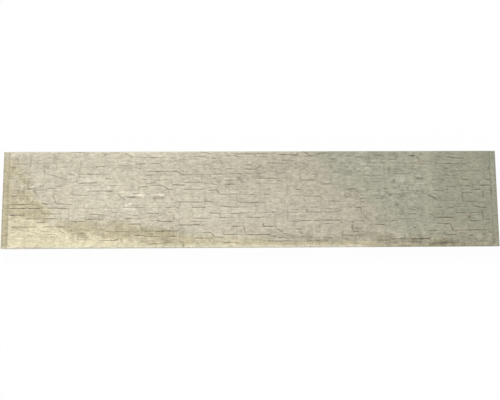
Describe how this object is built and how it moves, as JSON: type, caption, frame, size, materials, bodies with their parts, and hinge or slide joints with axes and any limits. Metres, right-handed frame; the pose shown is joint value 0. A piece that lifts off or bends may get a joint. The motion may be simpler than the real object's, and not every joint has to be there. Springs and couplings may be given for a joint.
{
  "type": "concrete fence panel",
  "caption": "Flat cast concrete panel with a split-stone wall relief on its face and plain rimmed ends that slide into fence post grooves",
  "frame": {"origin": "centre of the panel on its flat back, which is the face it lies on", "axes": "+X along the panel's length, +Y across it towards its upper long edge as it stands in a fence, +Z out of the stone face"},
  "size_m": [1.84, 0.36, 0.04],
  "materials": {
    "concrete": "weathered cream-grey cast concrete, matt, darker and greener to one end, brown dirt along the lower edge"
  },
  "bodies": {
    "root": {"panel": "concrete"}
  },
  "joints": []
}
